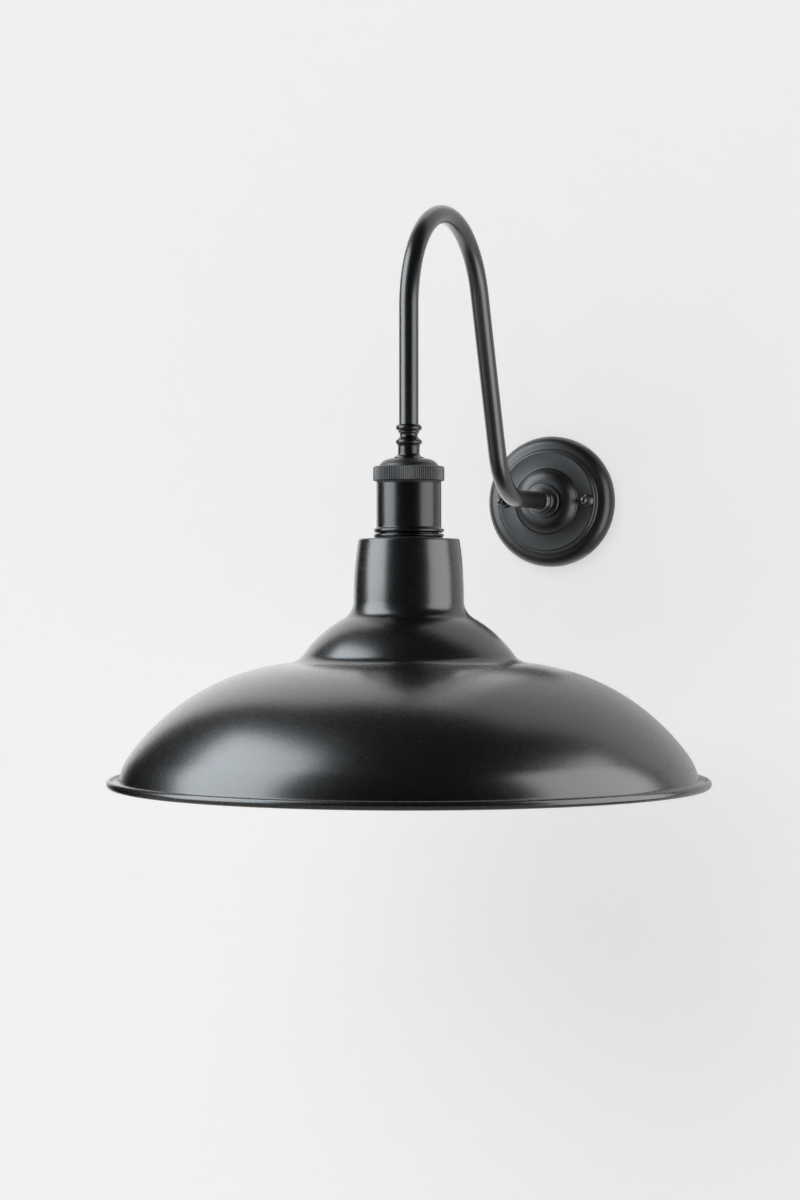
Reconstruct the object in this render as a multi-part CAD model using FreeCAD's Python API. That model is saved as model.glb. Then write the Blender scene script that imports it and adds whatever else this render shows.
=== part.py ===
"""Outdoor wall lantern: a swan-neck arm on a round wall rose, with an E27 lampholder and a spun shade.

Units are millimetres. The wall is the plane y = 0 and the lantern reaches out towards -Y, with +Z up. The
origin is the centre of the wall rose on the wall, and the arm's centreline lies in the plane x = 0.
Each piece is one STEP file in parts/, named after the piece.
"""
import FreeCAD, Part
import math
import os

Vector = FreeCAD.Vector

# ---- driving dimensions ---------------------------------------------------------------------------------
PROJECTION = 300.0            # wall to the shade's axis
SHADE_RADIUS = 200.0          # outside of the rolled rim
SHEET = 1.2                   # sheet metal of the shade and the rose
ROSE_RADIUS = 50.0
GASKET = 1.5                  # silicone gasket between wall and rose
DISC_DEPTH = 17.5             # outer face of the rose's raised disc, where the ball nuts sit
COLLAR_SEAT = 23.5            # flat top of the rose's dome, where the arm's collar sits
LOCKNUT_FACE = COLLAR_SEAT - SHEET - 1.0   # a 1 mm lockwasher lies between nut and rose

TUBE_R = 6.5                  # swan-neck tube, outside and bore
TUBE_BORE_R = 5.0
TUBE_START = 26.0             # depth at which the tube ends inside the wall collar
TUBE_END = 37.6               # height at which it ends inside the coupler
LOWER_BEND_R = 45.7
UPPER_BEND_R = 69.6
UPPER_BEND_Z = 120.4          # height of the upper bend's centre
LEG_LEAN = math.radians(18.5)  # the back leg leans away from the wall by this much

THREAD_R = 4.95               # M10 x 1 threaded nipples
NIPPLE_BORE_R = 3.7
CABLE_R = 3.0                 # round flex
CABLE_START = 9.0             # depth at which the flex is stripped inside the rose
CABLE_END = 7.0               # height at which it is stripped inside the holder's cap
LEAD_R = 0.9                  # single insulated conductor

STUD_PITCH = 67.0             # the two studs that hold the rose on its bracket
STUD_R = 1.5
STUD_CLEARANCE = 0.05         # running clearance of the ball nuts on their studs
NUT_WASHER = 0.6
BALL_R = 3.15
BRACKET = (84.0, 2.0, 20.0)   # length, thickness, height
CABLE_HOLE_R = 7.5
SLOT_PITCH = 40.0
SLOT_LENGTH = 12.0
SLOT_R = 2.3
EARTH_Z = -15.0               # earth screw on the bracket's lower tab
BLOCK_Z = (14.0, 28.0)        # terminal block above the cable hole: its heights and depths
BLOCK_DEPTH = (2.0, 10.5)
POLE_PITCH = 9.0
POLE_DEPTH = 6.0

COUPLER_TOP = 42.0            # heights on the shade's axis, measured from the rose's centre
COUPLER_BASE = 19.3
CAP_R = 23.65                 # knurled band of the holder's cap
CAP_BASE = 4.4
HOLDER_R = 21.57
HOLDER_TOP = 4.2
HOLDER_BORE_R = 18.4
HOLDER_THREAD_R = 20.0
COLLAR_R = 23.4               # flared ring at the foot of the holder
SHADE_TOP = -33.7             # outside of the shade's top plate
NECK_R = 33.7
GUTTER = -193.2               # flat gutter between the dome and the rolled rim
RIM_TOP = -192.1
RIM_BASE = -198.1
RIM_BEAD = 3.0                # radial thickness of the rolled rim

SHELL_R = 13.45               # inside of the lampholder's thread shell
SHELL_WALL = 0.5
INSULATOR_TOP = -2.0
INSULATOR_BASE = -42.0
WELL_TOP = -9.4               # underside of the web that carries the contacts

LAMP_TIP = -12.0              # top of the bulb's centre contact
LAMP_LENGTH = 105.0
LAMP_CAP_R = 13.1
LAMP_CAP_LENGTH = 26.5
CONTACT_BASE = LAMP_TIP - 1.2
COLLET_BASE = CONTACT_BASE - 3.3
CAP_END = LAMP_TIP - LAMP_CAP_LENGTH
GLOBE_R = 30.0
GLASS = 1.0
STEM_TOP = CAP_END + 6.0
STEM_BASE = -66.0
FILAMENTS = 4
FILAMENT_END = -97.0


# ---- small helpers --------------------------------------------------------------------------------------
def outline(points, place):
    """Edges through a list of points. A pair of points inside the list is an arc: its middle and its end."""
    edges = []
    last = place(*points[0])
    for item in points[1:]:
        if isinstance(item[0], tuple):
            middle, end = place(*item[0]), place(*item[1])
            edges.append(Part.Arc(last, middle, end).toShape())
        else:
            end = place(*item)
            edges.append(Part.makeLine(last, end))
        last = end
    return Part.Wire(edges)


def on_shade_axis(radius, height):
    return Vector(radius, -PROJECTION, height)


def on_rose_axis(radius, depth):
    return Vector(radius, -depth, 0)


def closed(points):
    """The same outline, back to its first point."""
    return points + [points[0]]


def turned_on_shade_axis(points):
    """A solid of revolution about the shade's axis from a closed (radius, height) outline."""
    face = Part.Face(outline(closed(points), on_shade_axis))
    return face.revolve(Vector(0, -PROJECTION, 0), Vector(0, 0, 1), 360)


def turned_on_rose_axis(points, x=0.0):
    """A solid of revolution about an axis square to the wall from a closed (radius, depth) outline."""
    face = Part.Face(outline(closed(points), on_rose_axis))
    solid = face.revolve(Vector(0, 0, 0), Vector(0, 1, 0), 360)
    solid.translate(Vector(x, 0, 0))
    return solid


def spun_sheet(points, place, axis_point, axis, thickness):
    """Sheet metal: an open outer outline thickened inwards, then turned a full circle."""
    band = outline(points, place).makeOffset2D(thickness, join=0, fill=True, openResult=True)
    solid = band.revolve(axis_point, axis, 360)
    return solid if solid.ShapeType == "Solid" else solid.Solids[0]


def rod_y(radius, depth_a, depth_b, x=0.0, z=0.0):
    """A round bar square to the wall between two depths."""
    return Part.makeCylinder(radius, depth_b - depth_a, Vector(x, -depth_a, z), Vector(0, -1, 0))


def rod_z(radius, low, high, x=0.0, y=0.0):
    """A round bar along the height, placed from the shade's axis."""
    return Part.makeCylinder(radius, high - low, Vector(x, y - PROJECTION, low), Vector(0, 0, 1))


def hexagon(across_flats, place):
    """A hexagonal face, with place(u, v) giving each corner's position."""
    radius = across_flats / math.sqrt(3)
    angles = [k * math.pi / 3 for k in range(7)]
    corners = [place(radius * math.cos(a), radius * math.sin(a)) for a in angles]
    return Part.Face(Part.makePolygon(corners))


def hex_nut_y(across_flats, hole_r, depth_a, depth_b, x=0.0, z=0.0):
    """A hexagon nut on an axis square to the wall."""
    face = hexagon(across_flats, lambda u, v: Vector(x + u, -depth_a, z + v))
    return face.extrude(Vector(0, depth_a - depth_b, 0)).cut(rod_y(hole_r, depth_a - 1, depth_b + 1, x, z))


def hex_nut_z(across_flats, hole_r, low, high):
    """A hexagon nut on the shade's axis."""
    face = hexagon(across_flats, lambda u, v: Vector(u, v - PROJECTION, low))
    return face.extrude(Vector(0, 0, high - low)).cut(rod_z(hole_r, low - 1, high + 1))


def tube_z(outer_r, inner_r, low, high):
    return rod_z(outer_r, low, high).cut(rod_z(inner_r, low - 1, high + 1))


def tube_y(outer_r, inner_r, depth_a, depth_b, x=0.0, z=0.0):
    return rod_y(outer_r, depth_a, depth_b, x, z).cut(rod_y(inner_r, depth_a - 1, depth_b + 1, x, z))


def slotted_head(solid, centre, axis, width, depth, length):
    """Cuts a screwdriver slot into a screw head whose outer face is at centre, looking along axis."""
    across = Vector(0, 0, 1) if abs(axis.z) < 0.5 else Vector(0, 1, 0)
    side = axis.cross(across)
    corner = centre - across * (length / 2) - side * (width / 2) - axis * depth
    base = [corner, corner + across * length, corner + across * length + side * width, corner + side * width]
    return solid.cut(Part.Face(Part.makePolygon(base + [corner])).extrude(axis * (depth + 1)))


def rounded_route(points, radii):
    """A wire of straight runs joined by tangent arcs, one radius for each inner point."""
    edges = []
    start = points[0]
    for before, corner, after, radius in zip(points, points[1:], points[2:], radii):
        back = (before - corner).normalize()
        ahead = (after - corner).normalize()
        half = back.getAngle(ahead) / 2
        reach = radius / math.tan(half)
        bisector = (back + ahead).normalize()
        middle = corner + bisector * (radius / math.sin(half) - radius)
        arc_start, arc_end = corner + back * reach, corner + ahead * reach
        if (arc_start - start).Length > 1e-6:
            edges.append(Part.makeLine(start, arc_start))
        edges.append(Part.Arc(arc_start, middle, arc_end).toShape())
        start = arc_end
    edges.append(Part.makeLine(start, points[-1]))
    return Part.Wire(edges)


def pipe(route, radius):
    """A round solid swept along a wire of tangent lines and arcs."""
    first = route.Edges[0]
    tangent = first.tangentAt(first.FirstParameter)
    section = Part.Wire(Part.makeCircle(radius, first.valueAt(first.FirstParameter), tangent))
    return route.makePipeShell([section], True, False)


def lead(points, radius):
    """One insulated conductor through points given as (x, y, z) tuples."""
    corners = [Vector(*p) for p in points]
    return pipe(rounded_route(corners, [radius] * (len(corners) - 2)), LEAD_R)


# ---- wall end -------------------------------------------------------------------------------------------
def wall_gasket():
    return tube_y(ROSE_RADIUS - 0.6, ROSE_RADIUS - 4.2, 0, GASKET)


def rose_cover():
    """Pressed rose: plain skirt, quarter round, a groove, a raised disc and a small dome for the arm."""
    r = ROSE_RADIUS
    profile = [
        (r, GASKET),
        (r, 7.0),
        ((r - 2.4, 11.0), (r - 7.6, 13.4)),
        (r - 9.2, 13.7),
        ((r - 10.2, 14.2), (r - 10.8, 15.2)),
        ((r - 11.4, 16.9), (r - 13.0, DISC_DEPTH)),
        (r - 24.1, DISC_DEPTH),
        ((r - 24.8, 17.8), (r - 25.3, 18.5)),
        ((r - 29.8, 22.1), (r - 35.4, COLLAR_SEAT)),
        (THREAD_R + 0.15, COLLAR_SEAT),
    ]
    cover = spun_sheet(profile, on_rose_axis, Vector(0, 0, 0), Vector(0, 1, 0), SHEET)
    for side in (-1, 1):
        cover = cover.cut(rod_y(STUD_R + 0.4, 5, 25, side * STUD_PITCH / 2))
    return cover


def mounting_bracket():
    """Steel strap screwed to the wall, with a cable hole, two slots and a tab for the earth screw."""
    length, thick, height = BRACKET
    strap = Part.makeBox(length, thick, height, Vector(-length / 2, -thick, -height / 2))
    strap = strap.makeFillet(4, [e for e in strap.Edges if abs(e.tangentAt(e.FirstParameter).y) > 0.9])
    tab = Part.makeBox(14, thick, 12, Vector(-7, -thick, EARTH_Z - 6))
    strap = strap.fuse(tab).removeSplitter()
    strap = strap.cut(rod_y(CABLE_HOLE_R, -1, thick + 1))
    strap = strap.cut(rod_y(STUD_R + 0.1, -1, thick + 1, 0, EARTH_Z))
    reach = SLOT_LENGTH / 2 - SLOT_R
    for side in (-1, 1):
        x = side * SLOT_PITCH / 2
        slot = Part.makeBox(2 * reach, thick + 2, 2 * SLOT_R, Vector(x - reach, -thick - 1, -SLOT_R))
        for end in (-reach, reach):
            slot = slot.fuse(rod_y(SLOT_R, -1, thick + 1, x + end))
        strap = strap.cut(slot)
        strap = strap.cut(rod_y(STUD_R + 0.05, -1, thick + 1, side * STUD_PITCH / 2))
    return strap


def stud_row(make):
    """The same small piece on both studs, as one shape; make(x) builds it."""
    return Part.makeCompound([make(side * STUD_PITCH / 2) for side in (-1, 1)])


def rose_studs():
    return stud_row(lambda x: rod_y(STUD_R, 0.2, 26.0, x))


def stud_locknuts():
    thick = BRACKET[1]
    return stud_row(lambda x: hex_nut_y(5.5, STUD_R + 0.02, thick, thick + 2.4, x))


def nut_washers():
    return stud_row(lambda x: tube_y(4.2, STUD_R + 0.4, DISC_DEPTH, DISC_DEPTH + NUT_WASHER, x))


def ball_nut(x):
    """Turned cap nut: flared foot, short neck and a ball, with a blind bore for the stud."""
    foot = DISC_DEPTH + NUT_WASHER + STUD_CLEARANCE
    bore = STUD_R + STUD_CLEARANCE
    neck_r = 2.3
    centre = foot + 9.5
    neck_end = centre - math.sqrt(BALL_R ** 2 - neck_r ** 2)
    return turned_on_rose_axis([
        (bore, foot),
        (4.6, foot),
        ((4.8, foot + 0.6), (4.5, foot + 1.2)),
        ((3.1, foot + 2.4), (2.5, foot + 4.6)),
        (neck_r, neck_end),
        ((BALL_R, centre), (0.0, centre + BALL_R)),
        (0.0, foot + 8.6),
        (bore, foot + 8.6),
    ], x)


def arm_collar():
    """Turned boss between rose and tube: a flange, a cove and two beads."""
    return turned_on_rose_axis([
        (THREAD_R + 0.05, COLLAR_SEAT),
        (13.2, COLLAR_SEAT),
        (13.2, 26.2),
        ((12.9, 27.0), (12.1, 27.3)),
        (9.6, 27.6),
        ((8.7, 28.3), (8.9, 29.4)),
        ((9.8, 30.5), (8.9, 31.6)),
        ((7.7, 32.4), (8.0, 33.4)),
        ((8.5, 34.4), (8.0, 35.5)),
        (7.2, 36.5),
        (TUBE_R, 36.5),
        (TUBE_R, TUBE_START),
        (THREAD_R + 0.05, TUBE_START),
    ])


def wall_nipple():
    return tube_y(THREAD_R, NIPPLE_BORE_R, 12.0, TUBE_START)


def arm_lockwasher():
    return tube_y(8.6, THREAD_R + 0.15, LOCKNUT_FACE, COLLAR_SEAT - SHEET)


def arm_locknut():
    return hex_nut_y(14.0, THREAD_R + 0.05, LOCKNUT_FACE - 3.0, LOCKNUT_FACE)


def earth_screw():
    """Pan-head screw in the bracket's tab, over the ring terminal."""
    screw = rod_y(STUD_R, 0.3, 3.0, 0, EARTH_Z).fuse(rod_y(3.0, 3.0, 5.0, 0, EARTH_Z))
    return slotted_head(screw, Vector(0, -5.0, EARTH_Z), Vector(0, -1, 0), 0.8, 1.0, 8)


def earth_tag():
    """Ring terminal with a crimped barrel pointing sideways."""
    thick = BRACKET[1]
    ring = rod_y(3.4, thick, thick + 1.0, 0, EARTH_Z)
    tongue = Part.makeBox(7, 1.0, 2.4, Vector(2, -thick - 1.0, EARTH_Z - 1.2))
    barrel = Part.makeCylinder(1.5, 5.0, Vector(8, -thick - 1.5, EARTH_Z), Vector(1, 0, 0))
    socket = Part.makeCylinder(LEAD_R + 0.02, 5.0, Vector(9, -thick - 1.5, EARTH_Z), Vector(1, 0, 0))
    tag = ring.fuse([tongue, barrel]).cut(socket)
    return tag.cut(rod_y(STUD_R + 0.1, 0, 6, 0, EARTH_Z))


def pole_row(make):
    """The same small piece for all three poles, as one shape; make(x) builds it."""
    return Part.makeCompound([make(k * POLE_PITCH) for k in (-1, 0, 1)])


def terminal_block():
    """Three-pole block with a through bore and two screw wells for each pole."""
    low, high = BLOCK_Z
    near, far = BLOCK_DEPTH
    width = 3 * POLE_PITCH + 1
    block = Part.makeBox(width, far - near, high - low, Vector(-width / 2, -far, low))
    block = block.makeFillet(1.0, [e for e in block.Edges if abs(e.tangentAt(e.FirstParameter).z) > 0.9])
    for k in (-1, 0, 1):
        x = k * POLE_PITCH
        bore = Part.makeCylinder(2.1, high - low + 2, Vector(x, -POLE_DEPTH, low - 1), Vector(0, 0, 1))
        block = block.cut(bore)
        for z in (low + 4, high - 4):
            block = block.cut(rod_y(1.5, POLE_DEPTH, far + 1, x, z))
    return block


def terminal_inserts():
    low, high = BLOCK_Z

    def insert(x):
        centre = Vector(x, -POLE_DEPTH, low + 1.5)
        sleeve = Part.makeCylinder(2.1, high - low - 3, centre, Vector(0, 0, 1))
        sleeve = sleeve.cut(Part.makeCylinder(1.3, high - low, centre - Vector(0, 0, 1), Vector(0, 0, 1)))
        for z in (low + 4, high - 4):
            sleeve = sleeve.cut(rod_y(1.0, POLE_DEPTH, POLE_DEPTH + 4, x, z))
        return sleeve
    return pole_row(insert)


def terminal_screws():
    low, high = BLOCK_Z
    screws = []
    for k in (-1, 0, 1):
        for z in (low + 4, high - 4):
            x = k * POLE_PITCH
            screw = rod_y(0.95, POLE_DEPTH + 1.1, POLE_DEPTH + 2.6, x, z)
            screw = screw.fuse(rod_y(1.4, POLE_DEPTH + 2.2, POLE_DEPTH + 3.8, x, z))
            screws.append(slotted_head(screw, Vector(x, -POLE_DEPTH - 3.8, z), Vector(0, -1, 0), 0.5, 0.6, 4))
    return Part.makeCompound(screws)


# ---- swan neck ------------------------------------------------------------------------------------------
def arm_route(first_depth, last_z):
    """Centreline of the arm: level off the wall, up the leaning back leg, over the top and straight down."""
    normal = Vector(0, math.cos(LEG_LEAN), math.sin(LEG_LEAN))
    top = Vector(0, -PROJECTION + UPPER_BEND_R, UPPER_BEND_Z)
    turn = math.pi / 2 - LEG_LEAN
    drop = (1 - math.cos(turn)) * normal.z
    offset = LOWER_BEND_R * (drop - math.sin(turn) * normal.y)
    level = (offset - top.dot(normal) - UPPER_BEND_R) / normal.y

    def lower(angle):
        return Vector(0, -level - LOWER_BEND_R * math.sin(angle), LOWER_BEND_R * (1 - math.cos(angle)))

    def upper(angle):
        return top + Vector(0, UPPER_BEND_R * math.cos(angle), UPPER_BEND_R * math.sin(angle))

    half = (LEG_LEAN + math.pi) / 2
    return Part.Wire([
        Part.makeLine(Vector(0, -first_depth, 0), lower(0)),
        Part.Arc(lower(0), lower(turn / 2), lower(turn)).toShape(),
        Part.makeLine(lower(turn), upper(LEG_LEAN)),
        Part.Arc(upper(LEG_LEAN), upper(half), upper(math.pi)).toShape(),
        Part.makeLine(upper(math.pi), Vector(0, -PROJECTION, last_z)),
    ])


def swan_neck_arm():
    route = arm_route(TUBE_START, TUBE_END)
    return pipe(route, TUBE_R).cut(pipe(arm_route(TUBE_START - 1, TUBE_END - 1), TUBE_BORE_R))


def flex_cable():
    return pipe(arm_route(CABLE_START, CABLE_END), CABLE_R)


# ---- lamp end -------------------------------------------------------------------------------------------
def arm_coupler():
    """Turned coupler with two beads; the tube sits in its top and a nipple screws into its foot."""
    return turned_on_shade_axis([
        (TUBE_R, COUPLER_TOP),
        (7.4, COUPLER_TOP),
        (7.9, COUPLER_TOP - 0.6),
        ((8.7, 39.7), (7.9, 38.2)),
        (7.0, 37.6),
        (6.9, 36.7),
        ((5.9, 35.0), (6.6, 33.3)),
        (7.3, 32.6),
        (7.9, 32.0),
        ((8.8, 30.4), (7.9, 28.8)),
        (7.2, 27.6),
        (7.2, 23.4),
        ((7.9, 21.4), (9.9, 20.4)),
        (9.9, COUPLER_BASE),
        (THREAD_R + 0.05, COUPLER_BASE),
        (THREAD_R + 0.05, 28.0),
        (NIPPLE_BORE_R, 28.0),
        (NIPPLE_BORE_R, TUBE_END),
        (TUBE_R, TUBE_END),
    ])


def lamp_nipple():
    return tube_z(THREAD_R, NIPPLE_BORE_R, 9.0, 28.0)


def cap_locknut():
    return hex_nut_z(14.0, THREAD_R + 0.05, 13.4, 16.4)


def cap_lockwasher():
    return tube_z(8.4, THREAD_R + 0.15, 16.4, 17.3)


def holder_cap():
    """Domed screw cap of the lampholder with its knurled band."""
    return turned_on_shade_axis([
        (THREAD_R + 0.15, COUPLER_BASE),
        (11.0, COUPLER_BASE),
        ((16.9, 17.7), (19.9, 14.4)),
        (22.9, 14.2),
        (CAP_R, 13.5),
        (CAP_R, CAP_BASE + 0.5),
        (CAP_R - 0.5, CAP_BASE),
        (HOLDER_THREAD_R + 0.1, CAP_BASE),
        (HOLDER_THREAD_R + 0.1, 12.2),
        ((15.6, 16.0), (10.6, 17.3)),
        (THREAD_R + 0.15, 17.3),
    ])


def cap_seal():
    return tube_z(HOLDER_R - 0.1, HOLDER_THREAD_R + 0.1, HOLDER_TOP - 1.0, CAP_BASE)


def holder_body():
    """Turned sleeve: a thread for the cap, a plain barrel, a flared foot and a thread for the shade."""
    return turned_on_shade_axis([
        (HOLDER_BORE_R, 11.5),
        (HOLDER_THREAD_R, 11.5),
        (HOLDER_THREAD_R, HOLDER_TOP - 1.0),
        (HOLDER_R - 0.1, HOLDER_TOP - 1.0),
        (HOLDER_R, HOLDER_TOP - 1.2),
        (HOLDER_R, -25.4),
        ((22.0, -26.6), (COLLAR_R - 0.4, -27.2)),
        ((COLLAR_R, -28.4), (COLLAR_R - 0.5, -29.5)),
        (21.6, -29.8),
        (HOLDER_THREAD_R, -29.8),
        (HOLDER_THREAD_R, -46.0),
        (HOLDER_BORE_R, -46.0),
    ])


def shade_ring_upper():
    r = COLLAR_R - 0.1
    return turned_on_shade_axis([
        (HOLDER_THREAD_R + 0.05, -30.4),
        (r - 0.8, -30.4),
        ((r, -31.5), (r - 0.6, -32.7)),
        (HOLDER_THREAD_R + 0.05, -32.7),
    ])


def shade_gasket():
    return tube_z(COLLAR_R - 1.0, HOLDER_THREAD_R + 0.1, SHADE_TOP, -32.7)


def shade_ring_lower():
    """Ring nut under the shade's top plate, with grip notches around its edge."""
    top = SHADE_TOP - SHEET
    ring = turned_on_shade_axis([
        (HOLDER_THREAD_R + 0.05, top),
        (27.0, top),
        (27.0, top - 1.6),
        (23.6, top - 1.9),
        (23.6, top - 7.0),
        (HOLDER_THREAD_R + 0.05, top - 7.0),
    ])
    for k in range(12):
        angle = k * math.pi / 6
        notch = rod_z(1.1, top - 2.5, top + 1, 27.2 * math.cos(angle), 27.2 * math.sin(angle))
        ring = ring.cut(notch)
    return ring


def shade():
    """Spun shade: straight neck, shoulder, shallow valley, wide dome and a rolled rim behind a gutter."""
    r = SHADE_RADIUS
    sheet = spun_sheet([
        (HOLDER_THREAD_R + 0.2, SHADE_TOP),
        (NECK_R - 1.6, SHADE_TOP),
        ((NECK_R - 0.4, SHADE_TOP - 0.5), (NECK_R + 0.1, SHADE_TOP - 1.8)),
        ((35.8, -52.0), (36.8, -75.0)),
        ((38.6, -81.8), (43.6, -86.7)),
        ((58.1, -97.15), (70.0, -110.45)),
        ((74.4, -114.4), (80.0, -116.2)),
        ((138.0, -134.8), (183.7, -175.2)),
        ((187.5, -181.15), (r - 9.6, -187.6)),
        (r - 8.4, -191.2),
        ((r - 7.4, -192.8), (r - 5.6, GUTTER)),
        (r - RIM_BEAD + 0.4, GUTTER),
    ], on_shade_axis, Vector(0, -PROJECTION, 0), Vector(0, 0, 1), -SHEET)
    bead = turned_on_shade_axis([
        (r - RIM_BEAD, GUTTER - 0.7),
        (r - RIM_BEAD + 0.3, RIM_TOP - 0.8),
        ((r - RIM_BEAD / 2, RIM_TOP), (r, RIM_TOP - 1.4)),
        (r, RIM_BASE + 1.4),
        ((r - RIM_BEAD / 2, RIM_BASE), (r - RIM_BEAD, RIM_BASE + 1.4)),
    ])
    return sheet.fuse(bead).removeSplitter()


# ---- lampholder insert ----------------------------------------------------------------------------------
def socket_insulator():
    """Moulded insulator that fills the sleeve, with the lamp well below and terminal pockets on top."""
    well_r = SHELL_R + SHELL_WALL
    body = turned_on_shade_axis([
        (0.0, INSULATOR_TOP),
        (HOLDER_BORE_R - 0.3, INSULATOR_TOP),
        (HOLDER_BORE_R - 0.2, INSULATOR_TOP - 0.4),
        (HOLDER_BORE_R - 0.2, INSULATOR_BASE),
        (well_r, INSULATOR_BASE),
        (well_r, WELL_TOP),
        (0.0, WELL_TOP),
    ])
    for side in (-1, 1):
        pocket = Part.makeBox(6, 8, 4, Vector(side * 10 - 3, -PROJECTION - 4, INSULATOR_TOP - 4))
        body = body.cut(pocket).cut(rod_z(1.6, WELL_TOP - 1, INSULATOR_TOP, side * 10, 0))
    return body


def socket_shell():
    """Brass shell that takes the lamp's thread, drawn plain."""
    return tube_z(SHELL_R + SHELL_WALL, SHELL_R, -40.0, WELL_TOP - 1.0)


def socket_side_contact():
    """Brass tag from the neutral screw down into the shell's top edge."""
    reach = SHELL_R + SHELL_WALL - 0.4
    plate = Part.makeBox(reach - 7.5, 5.0, 0.8, Vector(7.5, -PROJECTION - 2.5, WELL_TOP - 0.8))
    leg = Part.makeBox(0.4, 4.0, 0.6, Vector(reach - 0.4, -PROJECTION - 2.0, WELL_TOP - 1.0))
    return plate.fuse(leg).cut(rod_z(1.3, WELL_TOP - 2, WELL_TOP + 1, 10, 0))


def socket_centre_contact():
    """Sprung centre contact: a strip from the live screw, bent down to the middle of the well."""
    strip = Part.makeBox(13.0, 5.0, 0.6, Vector(-12.5, -PROJECTION - 2.5, WELL_TOP - 0.6))
    button = rod_z(2.4, LAMP_TIP + 0.3, WELL_TOP - 0.6)
    return strip.fuse(button).cut(rod_z(1.3, WELL_TOP - 2, WELL_TOP + 1, -10, 0))


def socket_terminal_screws():
    """Two terminal screws through the web, one for each contact."""
    screws = []
    for side in (-1, 1):
        x = side * 10
        head_base = INSULATOR_TOP - 3.0
        screw = rod_z(1.25, WELL_TOP - 1.2, head_base, x).fuse(rod_z(2.4, head_base, head_base + 1.6, x))
        top = Vector(x, -PROJECTION, head_base + 1.6)
        screws.append(slotted_head(screw, top, Vector(0, 0, 1), 0.6, 0.7, 6))
    return Part.makeCompound(screws)


# ---- leads ----------------------------------------------------------------------------------------------
def rose_lead(x_start, z_start, x_pole):
    """From the stripped flex up into the lower side of one pole of the terminal block."""
    return lead([
        (x_start, -CABLE_START, z_start),
        (x_start, -5.6, z_start),
        (x_pole, -5.6, z_start + 6.0),
        (x_pole, -POLE_DEPTH, BLOCK_Z[0] + 3.0),
    ], 2.4)


def holder_lead(side):
    """From the stripped flex in the cap down to one of the socket's terminal screws."""
    y = -PROJECTION
    return lead([
        (side * 1.3, y, CABLE_END),
        (side * 1.3, y, 3.4),
        (side * 10.0, y + 1.0, 1.8),
        (side * 10.0, y + 1.0, INSULATOR_TOP - 1.4),
    ], 1.6)


def lead_live():
    return Part.makeCompound([rose_lead(-1.6, 0.9, -POLE_PITCH), holder_lead(-1)])


def lead_neutral():
    return Part.makeCompound([rose_lead(1.6, 0.9, POLE_PITCH), holder_lead(1)])


def lead_earth():
    """Earth conductors: flex to the middle pole, and middle pole to the earth screw's ring terminal."""
    flex = lead([
        (0, -CABLE_START, -1.7),
        (0, -5.0, -1.7),
        (0, -4.6, 9.0),
        (0, -POLE_DEPTH, BLOCK_Z[0] + 3.0),
    ], 2.4)
    bond = lead([
        (9.0, -BRACKET[1] - 1.5, EARTH_Z),
        (19.0, -BRACKET[1] - 1.5, EARTH_Z),
        (19.0, -POLE_DEPTH, 34.0),
        (0, -POLE_DEPTH, 34.0),
        (0, -POLE_DEPTH, BLOCK_Z[1] - 3.0),
    ], 5.0)
    return Part.makeCompound([flex, bond])


# ---- bulb -----------------------------------------------------------------------------------------------
def bulb_contact():
    return turned_on_shade_axis([
        (0.0, LAMP_TIP),
        ((2.6, LAMP_TIP - 0.3), (4.4, CONTACT_BASE)),
        (0.0, CONTACT_BASE),
    ])


def bulb_cap_insulator():
    return turned_on_shade_axis([
        (0.0, CONTACT_BASE - 0.3),
        (4.8, CONTACT_BASE - 0.3),
        (9.6, COLLET_BASE),
        (0.0, COLLET_BASE),
    ])


def bulb_cap():
    """Drawn screw cap, plain outside at the thread's crests."""
    return turned_on_shade_axis([
        (0.0, COLLET_BASE),
        (9.8, COLLET_BASE),
        (LAMP_CAP_R, COLLET_BASE - 2.6),
        (LAMP_CAP_R, CAP_END),
        (LAMP_CAP_R - 0.4, CAP_END),
        (LAMP_CAP_R - 0.4, COLLET_BASE - 3.0),
        (9.6, COLLET_BASE - 0.5),
        (0.0, COLLET_BASE - 0.5),
    ])


def bulb_globe():
    """Glass envelope: a neck inside the cap that swells into a sphere."""
    bottom = LAMP_TIP - LAMP_LENGTH
    centre = bottom + GLOBE_R
    neck_r = LAMP_CAP_R - 0.5
    shoulder = math.radians(28)
    outer = [
        (neck_r, COLLET_BASE - 4.0),
        (neck_r, CAP_END - 1.0),
        ((16.2, centre + 28.0), (GLOBE_R * math.cos(shoulder), centre + GLOBE_R * math.sin(shoulder))),
        ((GLOBE_R * math.cos(shoulder), centre - GLOBE_R * math.sin(shoulder)), (0.0, bottom)),
    ]
    inner_r = GLOBE_R - GLASS
    inner = [
        (0.0, bottom + GLASS),
        ((inner_r * math.cos(shoulder), centre - inner_r * math.sin(shoulder)),
         (inner_r * math.cos(shoulder), centre + inner_r * math.sin(shoulder))),
        ((16.2 - GLASS, centre + 28.0), (neck_r - GLASS, CAP_END - 1.0)),
        (neck_r - GLASS, COLLET_BASE - 4.0),
    ]
    return turned_on_shade_axis(outer + inner)


def bulb_stem():
    """Glass stem that carries the filaments on a central post."""
    return turned_on_shade_axis([
        (0.0, STEM_TOP),
        (9.0, STEM_TOP),
        ((6.2, STEM_TOP - 8.0), (3.4, STEM_TOP - 20.0)),
        (1.2, STEM_BASE),
        (1.2, FILAMENT_END + 1.0),
        (0.0, FILAMENT_END + 1.0),
    ])


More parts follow.
